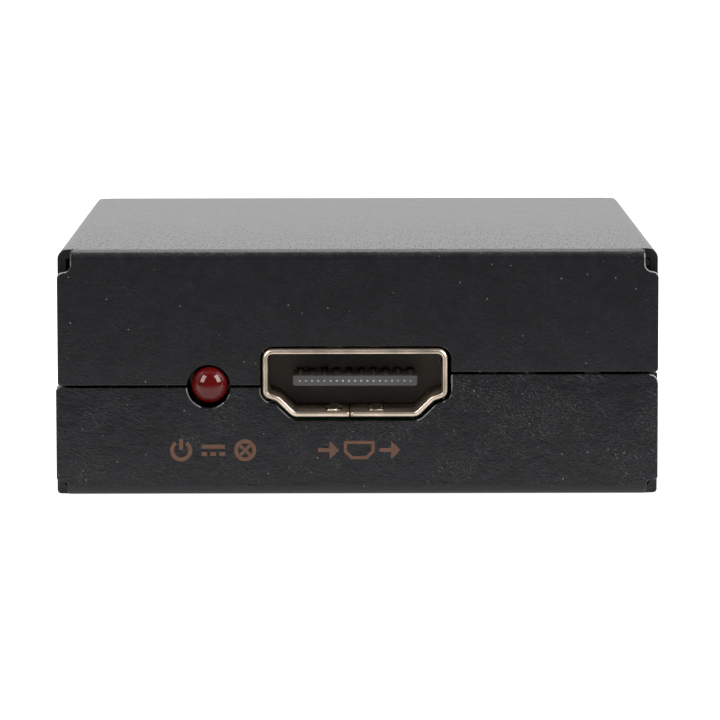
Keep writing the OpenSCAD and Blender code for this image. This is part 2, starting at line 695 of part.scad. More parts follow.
// Power lamp: the lens, drawn upright from its base, and the two leads cast into it
module power_led_lens() color(lamp_red) difference() {
    translate([lamp_x, lamp_base_y, lamp_z]) rotate([90, 0, 0]) difference() {
        rotate_extrude() polygon(concat([[0, 0], [lamp_rim_d / 2, 0], [lamp_rim_d / 2, lamp_rim_t],
                [lamp_d / 2, lamp_rim_t]],
            [for (k = [0 : 2 * corner_steps]) let (angle = 90 * k / (2 * corner_steps))
                [lamp_d / 2 * cos(angle), lamp_len - lamp_d / 2 + lamp_d / 2 * sin(angle)]]));
        block([lamp_rim_d / 2 - rim_flat, -lamp_rim_d, -overrun], [lamp_rim_d, lamp_rim_d, lamp_rim_t / 2]);
    }
    for (side = [-1, 1]) lamp_lead(side);
}

// One lead, drawn to the right of the lamp's axis: a post in the lens, a step out inside the
// rim, a straight run to the rear and a leg down through the board
module lamp_lead(side) translate([lamp_x, 0, 0]) mirror([(1 - side) / 2, 0, 0]) {
    near = post_gap / 2;
    far = lead_pitch / 2 + lead_t / 2;
    step_y = lamp_base_y - lamp_rim_t / 2;
    low = lamp_z - lead_t / 2;
    high = lamp_z + lead_t / 2;
    block([near, step_y - post_len, low], [near + post_w, step_y, high]);
    block([near, step_y - lead_t / 2, low], [far, step_y, high]);
    block([far - lead_t, step_y - lead_t / 2, low], [far, lead_down_y + lead_t / 2, high]);
    bar([far - lead_t / 2, lead_down_y], [lead_t, lead_t], board_low - lead_below, high);
}
module power_led_leads() color(tin) for (side = [-1, 1]) lamp_lead(side);

// Mode switch: lever 1 is on the left seen from the rear
function lever_x(i) = switch_x + ((lever_count - 1) / 2 - i) * lever_pitch;
function switch_pin_y(row) = switch_back_y - switch_rear_d / 2 + row * pin_row / 2;

// Front housing: a slot for each knob, and behind it a wider pocket for the lever's base
module mode_switch_cover() color(switch_blue) difference() {
    block([switch_x - switch_w / 2, switch_back_y, board_top], [switch_x + switch_w / 2, switch_face_y,
        board_top + switch_h]);
    for (i = [0 : lever_count - 1]) {
        block([lever_x(i) - knob_w / 2 - lever_fit, switch_back_y, knob_low - lever_fit],
            [lever_x(i) + knob_w / 2 + lever_fit, switch_face_y + overrun,
                knob_low + knob_h + lever_travel + lever_fit]);
        block([lever_x(i) - knob_w / 2 - lever_base_side - lever_fit, switch_back_y - overrun,
                lever_base_low - lever_fit],
            [lever_x(i) + knob_w / 2 + lever_base_side + lever_fit, switch_face_y - switch_wall,
                lever_base_low + lever_base_h + lever_travel + lever_fit]);
    }
}

// Rear housing: closes the pockets and holds the pins
module mode_switch_base() color(black_plastic) difference() {
    union() {
        block([switch_x - switch_w / 2, switch_back_y - switch_rear_d, board_top],
            [switch_x + switch_w / 2, switch_back_y, board_top + switch_h - switch_rim_h]);
        block([switch_x - switch_w / 2 + switch_rim, switch_back_y - switch_rear_d + switch_rim, board_top],
            [switch_x + switch_w / 2 - switch_rim, switch_back_y, board_top + switch_h]);
    }
    switch_pins();
}
module switch_pins() for (i = [0 : lever_count - 1], row = [-1, 1])
    bar([lever_x(i), switch_pin_y(row)], [pin_w, pin_t], board_low - pin_below, board_top + switch_h / 2);
module mode_switch_pins() color(tin) switch_pins();

module mode_lever(i) color(lever_white) {
    block([lever_x(i) - knob_w / 2 - lever_base_side, switch_back_y + lever_fit, lever_base_low],
        [lever_x(i) + knob_w / 2 + lever_base_side, switch_back_y + lever_fit + lever_base_d,
            lever_base_low + lever_base_h]);
    block([lever_x(i) - knob_w / 2, switch_back_y + lever_fit, knob_low],
        [lever_x(i) + knob_w / 2, switch_face_y + knob_proud, knob_low + knob_h]);
}
module mode_lever_1() mode_lever(0);
module mode_lever_2() mode_lever(1);
module mode_lever_3() mode_lever(2);
module mode_lever_4() mode_lever(3);

// Chips

// Each place in a table of shares, on the board's top face
module on_board(at_shares) for (at = at_shares)
    translate([at.x * board_w / 2, at.y * bay_half, board_top]) children();

// Moulded body with a bevelled upper edge and a dimple at its first pin
module moulded_body(l, w, h, dot) difference() {
    intersection() {
        prism_y([[-l / 2, chip_lift], [l / 2, chip_lift], [l / 2, h - chip_edge], [l / 2 - chip_edge, h],
            [-l / 2 + chip_edge, h], [-l / 2, h - chip_edge]], -w / 2, w / 2);
        prism_x([[-w / 2, chip_lift], [w / 2, chip_lift], [w / 2, h - chip_edge], [w / 2 - chip_edge, h],
            [-w / 2 + chip_edge, h], [-w / 2, h - chip_edge]], -l / 2, l / 2);
    }
    if (dot) translate([-l / 2 + dot_in, -w / 2 + dot_in, h - dot_depth]) cylinder(h = overrun, r = dot_r);
}

// Row of bent leads along X, out of the body's face at half its width towards -Y
module lead_row(count, pitch, lead_w, body_half, exit_z)
    for (i = [0 : count - 1]) translate([(i - (count - 1) / 2) * pitch, -body_half, 0]) {
        half = lead_w / 2;
        block([-half, -pin_knee - pin_sheet, exit_z], [half, 0, exit_z + pin_sheet]);
        block([-half, -pin_knee - pin_sheet, 0], [half, -pin_knee, exit_z + pin_sheet]);
        block([-half, -pin_reach, 0], [half, -pin_knee, pin_sheet]);
    }

module controller_chip() color(black_plastic) on_board([controller_at_shares])
    moulded_body(controller_l, controller_l, controller_h, true);
module controller_pins() color(tin) on_board([controller_at_shares])
    for (turn = [0 : 90 : 270]) rotate(turn) lead_row(controller_side_pins, controller_pin_pitch,
        controller_pin_w, controller_l / 2, controller_h / 2);
module memory_chips() color(black_plastic) on_board(memory_at_shares)
    moulded_body(memory_l, memory_w, memory_h, true);
module memory_pins() color(tin) on_board(memory_at_shares) for (turn = [0, 180]) rotate(turn)
    lead_row(memory_side_pins, memory_pin_pitch, memory_pin_w, memory_w / 2, memory_h / 2);
module surge_arrays() color(black_plastic) on_board(surge_at_shares)
    moulded_body(surge_l, surge_l, surge_h, true);
module surge_array_pins() color(tin) on_board(surge_at_shares) for (turn = [0, 180]) rotate(turn)
    lead_row(surge_side_pins, surge_pin_pitch, surge_pin_w, surge_l / 2, surge_h / 2);
module regulator_body() color(black_plastic) on_board([regulator_at_shares])
    moulded_body(regulator_l, regulator_w, regulator_h, false);
module regulator_pins() color(tin) on_board([regulator_at_shares]) {
    lead_row(3, regulator_pin_pitch, regulator_pin_w, regulator_w / 2, regulator_h / 2);
    rotate(180) lead_row(1, regulator_pin_pitch, regulator_tab_w, regulator_w / 2, regulator_h / 2);
}
module signal_transistors() color(black_plastic) on_board(transistor_at_shares)
    moulded_body(transistor_l, transistor_w, transistor_h, false);
module transistor_pins() color(tin) on_board(transistor_at_shares) {
    lead_row(2, transistor_pin_pitch, transistor_pin_w, transistor_w / 2, transistor_h / 2);
    rotate(180) lead_row(1, transistor_pin_pitch, transistor_pin_w, transistor_w / 2, transistor_h / 2);
}

// Passive parts
module crystal_base() color(ceramic) on_board([crystal_at_shares])
    block([-crystal_l / 2, -crystal_w / 2, 0], [crystal_l / 2, crystal_w / 2, crystal_base_h]);
module crystal_lid() color(steel) on_board([crystal_at_shares])
    block([-crystal_l / 2 + lid_step, -crystal_w / 2 + lid_step, crystal_base_h],
        [crystal_l / 2 - lid_step, crystal_w / 2 - lid_step, crystal_base_h + crystal_lid_h]);

// Reservoir capacitor: a rolled can crimped into a plastic base, with a flat lead each side
module at_can() {
    port_side = port_x + port_w / 2;
    translate([port_side + can_x_share * (board_w / 2 - port_side), -board_d / 2 + can_front_in, board_top])
        children();
}
module capacitor_can() color(tin) at_can() translate([0, 0, can_base_h]) rotate_extrude()
    polygon([[0, 0], [can_d / 2, 0], [can_d / 2, can_groove_at], [can_d / 2 - can_groove, can_groove_at],
        [can_d / 2 - can_groove, can_groove_at + can_groove_h], [can_d / 2, can_groove_at + can_groove_h],
        [can_d / 2, can_h - can_edge], [can_d / 2 - can_edge, can_h], [0, can_h]]);
module capacitor_base() color(black_plastic) at_can() difference() {
    half = can_d / 2 + can_base_side;
    cut = can_d / 4;
    linear_extrude(can_base_h) polygon([[-half, -half], [half - cut, -half], [half, -half + cut],
        [half, half - cut], [half - cut, half], [-half, half]]);
    can_leads();
}
module can_leads() for (side = [0, 1]) mirror([side, 0, 0]) block([can_d / 4, -can_lead_w / 2, 0],
    [can_d / 2 + can_base_side + can_lead_reach, can_lead_w / 2, can_lead_t]);
module capacitor_leads() color(tin) at_can() can_leads();

// A chip part's middle, and the slightly larger metal ends that it is soldered by
module chip_middle(h) bar([0, 0], [chip_l - 2 * chip_end, chip_w], chip_side, h);
module chip_ends(h) for (side = [-1, 1])
    bar([side * (chip_l - chip_end) / 2, 0], [chip_end, chip_w + 2 * chip_side], 0, h + chip_side);
module chip_resistors() color(resistor_black) on_board(resistor_at_shares) chip_middle(resistor_h);
module chip_capacitors() color(capacitor_tan) on_board(capacitor_at_shares) chip_middle(capacitor_h);
module chip_end_caps() color(tin) {
    on_board(resistor_at_shares) chip_ends(resistor_h);
    on_board(capacitor_at_shares) chip_ends(capacitor_h);
}

top_cover();
bottom_tray();
cover_screws();
board_standoffs();
board_screws();
circuit_board();
front_port_shell();
front_port_insulator();
front_port_contacts();
rear_port_shell();
rear_port_insulator();
rear_port_contacts();
power_led_lens();
power_led_leads();
mode_switch_cover();
mode_switch_base();
mode_switch_pins();
mode_lever_1();
mode_lever_2();
mode_lever_3();
mode_lever_4();
controller_chip();
controller_pins();
memory_chips();
memory_pins();
surge_arrays();
surge_array_pins();
regulator_body();
regulator_pins();
signal_transistors();
transistor_pins();
crystal_base();
crystal_lid();
capacitor_can();
capacitor_base();
capacitor_leads();
chip_resistors();
chip_capacitors();
chip_end_caps();
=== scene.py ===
import math

import bmesh
import bpy
from mathutils import Matrix, Vector


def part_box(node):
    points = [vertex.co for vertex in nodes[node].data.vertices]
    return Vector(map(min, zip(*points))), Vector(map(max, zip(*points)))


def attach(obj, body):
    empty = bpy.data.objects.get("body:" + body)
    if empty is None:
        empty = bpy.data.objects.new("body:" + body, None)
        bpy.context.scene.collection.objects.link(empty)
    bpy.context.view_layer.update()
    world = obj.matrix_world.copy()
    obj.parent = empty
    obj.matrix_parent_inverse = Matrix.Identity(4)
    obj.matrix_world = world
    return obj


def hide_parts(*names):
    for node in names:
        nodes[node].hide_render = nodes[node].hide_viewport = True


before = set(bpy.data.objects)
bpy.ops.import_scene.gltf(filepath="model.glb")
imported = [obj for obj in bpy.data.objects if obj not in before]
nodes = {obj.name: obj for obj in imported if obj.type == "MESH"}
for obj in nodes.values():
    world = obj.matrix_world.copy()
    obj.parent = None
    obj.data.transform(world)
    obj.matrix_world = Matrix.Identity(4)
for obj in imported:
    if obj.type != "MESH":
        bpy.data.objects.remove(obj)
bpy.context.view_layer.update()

# Camera
# A long lens, 36 cm in front of the panel and a little over the case, tipped down to it
# as the product photograph was taken.
MM = 0.001
camera_at = Vector((-0.17, -387.57, 51.62)) * MM
camera_pitch = 0.11242
camera_yaw = 0.00116
camera_roll = -0.00177

camera_data = bpy.data.cameras.new("camera")
camera_data.lens = 223.1
camera_data.sensor_width = 36
camera_data.clip_start = 0.01
camera_data.clip_end = 20
camera = bpy.data.objects.new("camera", camera_data)
bpy.context.scene.collection.objects.link(camera)
ahead = Vector((math.sin(camera_yaw) * math.cos(camera_pitch),
                math.cos(camera_yaw) * math.cos(camera_pitch), -math.sin(camera_pitch)))
level_right = Vector((math.cos(camera_yaw), -math.sin(camera_yaw), 0))
level_up = level_right.cross(ahead)
right = math.cos(camera_roll) * level_right + math.sin(camera_roll) * level_up
turn = Matrix((right, right.cross(ahead), -ahead)).transposed().to_4x4()
camera.matrix_world = Matrix.Translation(camera_at) @ turn
bpy.context.scene.camera = camera
bpy.context.scene.view_settings.view_transform = "Standard"


# Studio
# A small white table in a white sweep, dark in front where the camera stands, with
# a soft box on each side of the camera and one over the table.
def join(tree, socket, value):
    """Joins a socket to another one, or sets it to a value."""
    if isinstance(value, bpy.types.NodeSocket):
        tree.links.new(value, socket)
    else:
        socket.default_value = value


def add(tree, kind, inputs=None, **settings):
    """A shader node with its settings, and its sockets either set or joined to other sockets."""
    made = tree.nodes.new("ShaderNode" + kind)
    for key, value in settings.items():
        setattr(made, key, value)
    for key, value in (inputs or {}).items():
        join(tree, made.inputs[key], value)
    return made


def soft_box(name, azimuth, elevation, width, height, watts):
    """A rectangular lamp that looks at the case; azimuth 0 is at the camera, 90 to its right."""
    lamp = bpy.data.lights.new(name, "AREA")
    lamp.shape = "RECTANGLE"
    lamp.size = width
    lamp.size_y = height
    lamp.energy = watts
    across = math.radians(azimuth)
    up = math.radians(elevation)
    from_case = Vector((math.sin(across) * math.cos(up), -math.cos(across) * math.cos(up), math.sin(up)))
    place = from_case * soft_box_distance
    box = bpy.data.objects.new(name, lamp)
    box.matrix_world = Matrix.Translation(place) @ place.to_track_quat("Z", "Y").to_matrix().to_4x4()
    box.visible_camera = False
    bpy.context.scene.collection.objects.link(box)


soft_box_distance = 1.3
soft_box("soft_box_left", azimuth=-51, elevation=36, width=0.6, height=0.95, watts=12.5)
soft_box("soft_box_right", azimuth=62, elevation=36, width=0.62, height=0.95, watts=16)
soft_box("soft_box_top", azimuth=180, elevation=72, width=1.2, height=0.8, watts=8)

world = bpy.data.worlds.new("studio")
bpy.context.scene.world = world
world.use_nodes = True
sky = world.node_tree
sky.nodes.clear()
facing = add(sky, "SeparateXYZ", {"Vector": add(sky, "TexCoord").outputs["Generated"]})
back_glow = add(sky, "MapRange", {"Value": facing.outputs["Y"], "From Min": -0.5, "From Max": 0.7,
                                  "To Min": 0.04, "To Max": 1.12}, interpolation_type="SMOOTHSTEP")
seen = add(sky, "Mix", {"Factor": add(sky, "LightPath").outputs["Is Camera Ray"],
                        "A": back_glow.outputs["Result"], "B": 1.0}, data_type="FLOAT")
backdrop = add(sky, "Background", {"Color": (1, 1, 1, 1), "Strength": seen.outputs["Result"]})
add(sky, "OutputWorld", {"Surface": backdrop.outputs["Background"]})

# The table ends in the dark, so its glow and its shade fall off towards the camera
table_near = -34 * MM
table_far = -76 * MM
table_glow = 0.36
table_pale = 0.5
dark_pale = 0.1
seen_glow = 0.93
floor_reach = 3
floor_gap = 0.05 * MM
floor_mesh = bmesh.new()
bmesh.ops.create_grid(floor_mesh, x_segments=1, y_segments=1, size=floor_reach)
bmesh.ops.translate(floor_mesh, verts=floor_mesh.verts, vec=(0, 0, -floor_gap))
floor_data = bpy.data.meshes.new("floor")
floor_mesh.to_mesh(floor_data)
floor_mesh.free()
floor = bpy.data.objects.new("floor", floor_data)
bpy.context.scene.collection.objects.link(floor)
paper = bpy.data.materials.new("white_paper")
paper.use_nodes = True
sheet = paper.node_tree
sheet.nodes.clear()
along = add(sheet, "SeparateXYZ", {"Vector": add(sheet, "TexCoord").outputs["Object"]})
on_table = add(sheet, "MapRange", {"Value": along.outputs["Y"], "From Min": table_far,
                                   "From Max": table_near, "To Min": 0, "To Max": table_glow},
               interpolation_type="SMOOTHSTEP")
glow = add(sheet, "Mix", {"Factor": add(sheet, "LightPath").outputs["Is Camera Ray"],
                          "A": on_table.outputs["Result"], "B": seen_glow}, data_type="FLOAT")
shade = add(sheet, "MapRange", {"Value": along.outputs["Y"], "From Min": table_far,
                                "From Max": table_near, "To Min": dark_pale, "To Max": table_pale})
paper_shader = add(sheet, "BsdfPrincipled", {"Base Color": shade.outputs["Result"], "Roughness": 0.9,
                                             "Emission Color": (1, 1, 1, 1),
                                             "Emission Strength": glow.outputs["Result"]})
add(sheet, "OutputMaterial", {"Surface": paper_shader.outputs["BSDF"]})
floor_data.materials.append(paper)


# Steel tray
# The lower half of the case: one blank of steel folded up on four sides, powder coated
# black after folding. Its upper corners and the cut-outs have rubbed bare, and their pale edges
# are also a painted highlight.
def dressed(name, node, material, edge, body="housing", rubs_and_glints=(), worn=0.0, weld=0.001,
            segments=2, rolled=0.0):
    """A copy of a CAD node, welded, with its flat faces whole and its edges broken by a small
    bevel. The edge attribute of the bevel's faces is how far they are worn and carry a painted
    highlight, and the list of rubbed places gives those worn and highlighted more: middle and
    radius in millimetres, and wear. Rolled is the radius of a mouth's outer rim, if that is rounder than
    the rest."""
    shape = bmesh.new()
    shape.from_mesh(nodes[node].data)
    bmesh.ops.remove_doubles(shape, verts=shape.verts, dist=weld * MM)
    bmesh.ops.dissolve_limit(shape, angle_limit=flat_within, use_dissolve_boundaries=False,
                             verts=shape.verts, edges=shape.edges)
    if rolled:
        bmesh.ops.bevel(shape, geom=outer_rim(shape, node), offset=rolled * MM, segments=rolled_segments,
                        profile=0.5, affect="EDGES", clamp_overlap=False, material=-1)
    sharp = [e for e in shape.edges if e.is_manifold and e.calc_face_angle() > sharp_over]
    rim = shape.faces.layers.float.new("edge")
    broken = bmesh.ops.bevel(shape, geom=sharp, offset=edge * MM, segments=segments, profile=0.5,
                             affect="EDGES", clamp_overlap=False, material=-1)
    for face in broken["faces"]:
        at = face.calc_center_median() / MM
        near = [level for middle, radius, level in rubs_and_glints if (at - Vector(middle)).length < radius]
        face[rim] = max([worn, *near])
    box_low, box_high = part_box(node)
    for vert in shape.verts:
        vert.co = [min(max(c, a), b) for c, a, b in zip(vert.co, box_low, box_high)]
    piece = placed(name, shape, material, body)
    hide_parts(node)


def placed(name, shape, material, body="housing"):
    """The piece made of a finished bmesh, smooth over its gentle edges, on its body."""
    for face in shape.faces:
        face.smooth = True
    mesh = bpy.data.meshes.new(name)
    shape.to_mesh(mesh)
    shape.free()
    mesh.set_sharp_from_angle(angle=gentle_within)
    mesh.materials.append(material)
    piece = bpy.data.objects.new(name, mesh)
    bpy.context.scene.collection.objects.link(piece)
    even = piece.modifiers.new("even_shading", "WEIGHTED_NORMAL")
    even.keep_sharp = True
    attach(piece, body)
    return piece


def finish(name, **settings):
    """A new material, its node tree, its Principled shader and its Object coordinates."""
    material = bpy.data.materials.new(name)
    material.use_nodes = True
    tree = material.node_tree
    shader = tree.nodes["Principled BSDF"]
    feed(tree, shader, **settings)
    return material, tree, shader, add(tree, "TexCoord").outputs["Object"]


def feed(tree, shader, **sockets):
    """Sets or joins a shader's sockets; underscores stand for the spaces in their names."""
    for key, value in sockets.items():
        join(tree, shader.inputs[key.replace("_", " ")], value)


def new_group(name, takes, gives):
    """A shader node group, with the sockets inside it that hold what it takes and gives."""
    group = bpy.data.node_groups.new(name, "ShaderNodeTree")
    for key, kind in takes.items():
        group.interface.new_socket(key, in_out="INPUT", socket_type="NodeSocket" + kind)
    for key in gives:
        group.interface.new_socket(key, in_out="OUTPUT", socket_type="NodeSocketFloat")
    taken = group.nodes.new("NodeGroupInput").outputs
    given = group.nodes.new("NodeGroupOutput").inputs
    return group, taken, given


def use(tree, group, **inputs):
    """The outputs of a group placed in a material."""
    made = tree.nodes.new("ShaderNodeGroup")
    made.node_tree = group
    feed(tree, made, **inputs)
    return made.outputs


def blended(tree, mask, first, second):
    """The colour between two colours or sockets, by a mask."""
    sides = {key: value if isinstance(value, bpy.types.NodeSocket) else (*value, 1)
             for key, value in (("A", first), ("B", second))}
    return add(tree, "Mix", {"Factor": mask, **sides}, data_type="RGBA").outputs["Result"]


# Fine wrinkles and orange peel of baked powder, with tiny pale specks
wrinkle, taken, given = new_group("powder_wrinkle", {"Vector": "Vector"}, ["Height", "Speck", "Tone"])
drawn_out = add(wrinkle, "Mapping", {"Vector": taken["Vector"], "Rotation": (0, math.radians(24), 0),
                                     "Scale": (2.4, 2.4, 1)}, vector_type="TEXTURE")
creases = add(wrinkle, "TexNoise", {"Vector": drawn_out.outputs["Vector"], "Scale": 7600, "Detail": 2,
                                    "Roughness": 0.5, "Distortion": 0.8})
peel = add(wrinkle, "TexNoise", {"Vector": taken["Vector"], "Scale": 1300, "Detail": 2})
cloud = add(wrinkle, "TexNoise", {"Vector": taken["Vector"], "Scale": 160, "Detail": 3})
flats = add(wrinkle, "TexNoise", {"Vector": taken["Vector"], "Scale": 380, "Detail": 1})
calm = add(wrinkle, "MapRange", {"Value": flats.outputs["Fac"], "From Min": 0.36, "From Max": 0.66,
                                 "To Min": 0.2, "To Max": 0.65})
height = add(wrinkle, "Mix", {"Factor": calm.outputs["Result"], "A": creases.outputs["Fac"],
                              "B": peel.outputs["Fac"]}, data_type="FLOAT")
cells = add(wrinkle, "TexVoronoi", {"Vector": taken["Vector"], "Scale": 1000, "Randomness": 1})
lot = add(wrinkle, "SeparateColor", {"Color": cells.outputs["Color"]})
chosen = add(wrinkle, "Math", {0: lot.outputs["Red"], 1: 0.35}, operation="GREATER_THAN")
near_middle = add(wrinkle, "MapRange", {"Value": cells.outputs["Distance"], "From Min": 0.03,
                                        "From Max": 0.075, "To Min": 1, "To Max": 0})
specks = add(wrinkle, "Math", {0: chosen.outputs["Value"], 1: near_middle.outputs["Result"]},
             operation="MULTIPLY")
for key, source in (("Height", height.outputs["Result"]), ("Speck", specks.outputs["Value"]),
                    ("Tone", cloud.outputs["Fac"])):
    wrinkle.links.new(source, given[key])

# Where an edge has rubbed through and where it carries a painted highlight: its own wear, broken up by
# noise
wear_glint_group, taken, given = new_group("edge_wear_and_glint", {"Vector": "Vector"}, ["Worn"])
on_edge = add(wear_glint_group, "Attribute", attribute_name="edge", attribute_type="GEOMETRY")
patches = add(wear_glint_group, "TexNoise", {"Vector": taken["Vector"], "Scale": 900, "Detail": 4, "Roughness": 0.65})
sound = add(wear_glint_group, "Math", {0: 1.0, 1: on_edge.outputs["Fac"]}, operation="SUBTRACT")
bare_and_glint_patches = add(wear_glint_group, "Math", {0: patches.outputs["Fac"], 1: sound.outputs["Value"]}, operation="SUBTRACT")
crisp = add(wear_glint_group, "Math", {0: bare_and_glint_patches.outputs["Value"], 1: 8.0}, operation="MULTIPLY", use_clamp=True)
wear_glint_group.links.new(crisp.outputs["Value"], given["Worn"])


def powder_coat(name, colour, relief, painted_crest_highlight):
    """Black powder coat over steel, worn through along the edges, which also carry a painted highlight.
    Its crests carry a painted highlight, paler by a factor, and relief, the depth of its wrinkles, is in
    millimetres."""
    material, tree, shader, place = finish(name, Specular_IOR_Level=0.5)
    coat = use(tree, wrinkle, Vector=place)
    wear_and_glint = use(tree, wear_glint_group, Vector=place)
    dark, pale = ([c * share for c in colour] for share in cloud_shares)
    tone = blended(tree, coat["Tone"], dark, pale)
    # Painted highlight: the crests of the wrinkles get a paler colour, as if they catch the light
    crest_highlight_mask = add(tree, "MapRange", {"Value": coat["Height"], "From Min": 0.45, "From Max": 0.7})
    with_crest_highlight = blended(tree, crest_highlight_mask.outputs["Result"], tone, [c * painted_crest_highlight for c in colour])
    with_specks = blended(tree, coat["Speck"], with_crest_highlight, pale_speck_grey)
    # Worn edges show bare steel, which also paints a highlight on them
    with_bare_and_glint = blended(tree, wear_and_glint["Worn"], with_specks, bare_steel_and_glint)
    gloss = add(tree, "MapRange", {"Value": coat["Height"], "To Min": 0.24, "To Max": 0.38})
    bump = add(tree, "Bump", {"Height": coat["Height"], "Strength": 1.0, "Distance": relief * MM})
    feed(tree, shader, Base_Color=with_bare_and_glint, Roughness=gloss.outputs["Result"], Normal=bump.outputs["Normal"])
    return material


flat_within = math.radians(0.5)
sharp_over = math.radians(40)
gentle_within = math.radians(50)
cloud_shares = (0.75, 1.25)
# Pale grey specks in the coat's colour
pale_speck_grey = (0.2, 0.2, 0.2)
# Bare steel on the worn edges, pale enough to be a painted highlight as well
bare_steel_and_glint = (0.28, 0.28, 0.29)
coat_edge = 0.09
coat_worn = 0.3
sheet_weld = 0.03
front_y = -28

# Rubbed places round the lamp's hole, round the receptacle's cut-out and at the corners,
# worn and with a painted highlight on their edges, each with its x, z, radius and wear
tray_rubs_and_glints = [((x, front_y, z), radius, level) for x, z, radius, level in (
    (-13.7, 8.2, 0.9, 0.68), (-13, 7.4, 0.5, 0.6), (-10.9, 7.6, 0.8, 0.52),
    (-7.9, 8.7, 0.35, 0.62), (-7.5, 7.8, 0.6, 0.6), (-5.9, 6.6, 0.9, 0.64),
    (7.7, 9.5, 0.4, 0.64), (7.5, 7.9, 0.6, 0.6), (5.6, 6.6, 0.9, 0.64),
    (24.2, 9.6, 0.9, 0.72), (-24.4, 8.5, 0.3, 0.62), (-24, 1.1, 0.6, 0.46), (24, 1.1, 0.6, 0.46))]
# The tray's coat is given a darker colour than the cover's: painted shade, to fit how this half is lit
tray_coat = powder_coat("tray_powder_coat", (0.0035, 0.0035, 0.005), relief=0.1, painted_crest_highlight=2.0)
dressed("tray_sheet", "bottom_tray", tray_coat, coat_edge, rubs_and_glints=tray_rubs_and_glints,
        worn=coat_worn, weld=sheet_weld)


# Standoffs
# Four turned steel standoffs, zinc plated, with their feet riveted into the tray's floor.
# The circuit board lies on them.
def metal(name, colour, rough, grain=1500, stretch=(1, 1, 1), relief=0.004, dirt=0.75):
    """Metal whose tone and gloss shift with a fine grain, which stretch can draw out."""
    material, tree, shader, place = finish(name, Metallic=1.0)
    marks = use(tree, metal_grain, Vector=place, Scale=grain, Stretch=stretch)
    tone = blended(tree, marks["Tone"], [c * dirt for c in colour], colour)
    gloss = add(tree, "MapRange", {"Value": marks["Height"], "To Min": rough * 0.75, "To Max": rough * 1.3})
    bump = add(tree, "Bump", {"Height": marks["Height"], "Strength": 1.0, "Distance": relief * MM})
    feed(tree, shader, Base_Color=tone, Roughness=gloss.outputs["Result"], Normal=bump.outputs["Normal"])
    return material


metal_grain, taken, given = new_group("metal_grain",
                                      {"Vector": "Vector", "Scale": "Float", "Stretch": "Vector"},
                                      ["Height", "Tone"])
drawn = add(metal_grain, "VectorMath", {0: taken["Vector"], 1: taken["Stretch"]}, operation="MULTIPLY")
fine = add(metal_grain, "TexNoise", {"Vector": drawn.outputs["Vector"], "Scale": taken["Scale"],
                                     "Detail": 4, "Roughness": 0.6})
broad = add(metal_grain, "TexNoise", {"Vector": taken["Vector"], "Scale": 420, "Detail": 3})
tint = add(metal_grain, "MapRange", {"Value": broad.outputs["Fac"], "From Min": 0.32, "From Max": 0.62})
metal_grain.links.new(fine.outputs["Fac"], given["Height"])
metal_grain.links.new(tint.outputs["Result"], given["Tone"])

zinc = metal("bright_zinc", (0.62, 0.64, 0.66), rough=0.3)
dressed("standoff_posts", "board_standoffs", zinc, edge=0.1)

# Circuit board
# Glass-epoxy laminate with green solder mask over its tracks. It lies on the standoffs,
# and four zinc-plated screws hold it down.
board_finish, tree, shader, place = finish("solder_mask", Roughness=0.28, Coat_Weight=0.3,
                                           Coat_Roughness=0.1)
weave = add(tree, "TexBrick", {"Vector": place, "Scale": 300, "Color1": (1, 1, 1, 1),
                               "Color2": (0.6, 0.6, 0.6, 1), "Mortar": (0, 0, 0, 1),
                               "Mortar Size": 0.025, "Brick Width": 0.9, "Row Height": 0.35})
tracks = add(tree, "SeparateColor", {"Color": weave.outputs["Color"]})
glaze = add(tree, "TexNoise", {"Vector": place, "Scale": 500, "Detail": 3})
mask = blended(tree, tracks.outputs["Red"], (0.012, 0.085, 0.035), (0.022, 0.15, 0.06))
shaded = blended(tree, glaze.outputs["Fac"], mask, (0.015, 0.11, 0.045))
ridge = add(tree, "Bump", {"Height": tracks.outputs["Red"], "Strength": 0.6, "Distance": 0.02 * MM})
feed(tree, shader, Base_Color=shaded, Normal=ridge.outputs["Normal"])
dressed("board_laminate_sheet", "circuit_board", board_finish, edge=0.05)
dressed("board_screw_set", "board_screws", zinc, edge=0.06)


# Receptacles
# One in front and one at the rear. A stamped, gold-flashed shell is folded round to a slit
# underneath, with spring fingers bent in; a black moulding fills its rear and carries the
# contacts on a tongue.
def plastic(name, colour, rough, relief=0.006, grain=2500):
    """Plastic, ceramic or ink with a fine grain and a little unevenness in its colour."""
    material, tree, shader, place = finish(name)
    skin = use(tree, moulded_grain, Vector=place, Scale=grain)
    tone = blended(tree, skin["Tone"], [c * 0.8 for c in colour], [min(1, c * 1.15) for c in colour])
    gloss = add(tree, "MapRange", {"Value": skin["Height"], "To Min": rough * 0.85, "To Max": rough * 1.2})
    bump = add(tree, "Bump", {"Height": skin["Height"], "Strength": 1.0, "Distance": relief * MM})
    feed(tree, shader, Base_Color=tone, Roughness=gloss.outputs["Result"], Normal=bump.outputs["Normal"])
    return material


def outer_rim(shape, node):
    """The edges round the outside of a receptacle's mouth, without the slit's."""
    box_low, box_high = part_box(node)
    middle = (box_low + box_high) / 2
    mouth = max((box_low.y, box_high.y), key=abs)
    at_mouth = [e for e in shape.edges if all(abs(v.co.y - mouth) < mouth_flat * MM for v in e.verts)]
    return [e for e in at_mouth
            if any(abs(f.normal.y) < 0.5 and f.normal.dot(f.calc_center_median() - middle) > slit_clear * MM
                   for f in e.link_faces)]


moulded_grain, taken, given = new_group("moulded_grain", {"Vector": "Vector", "Scale": "Float"},
                                        ["Height", "Tone"])
pits = add(moulded_grain, "TexNoise", {"Vector": taken["Vector"], "Scale": taken["Scale"], "Detail": 3})
flow = add(moulded_grain, "TexNoise", {"Vector": taken["Vector"], "Scale": 350, "Detail": 2})
moulded_grain.links.new(pits.outputs["Fac"], given["Height"])
moulded_grain.links.new(flow.outputs["Fac"], given["Tone"])

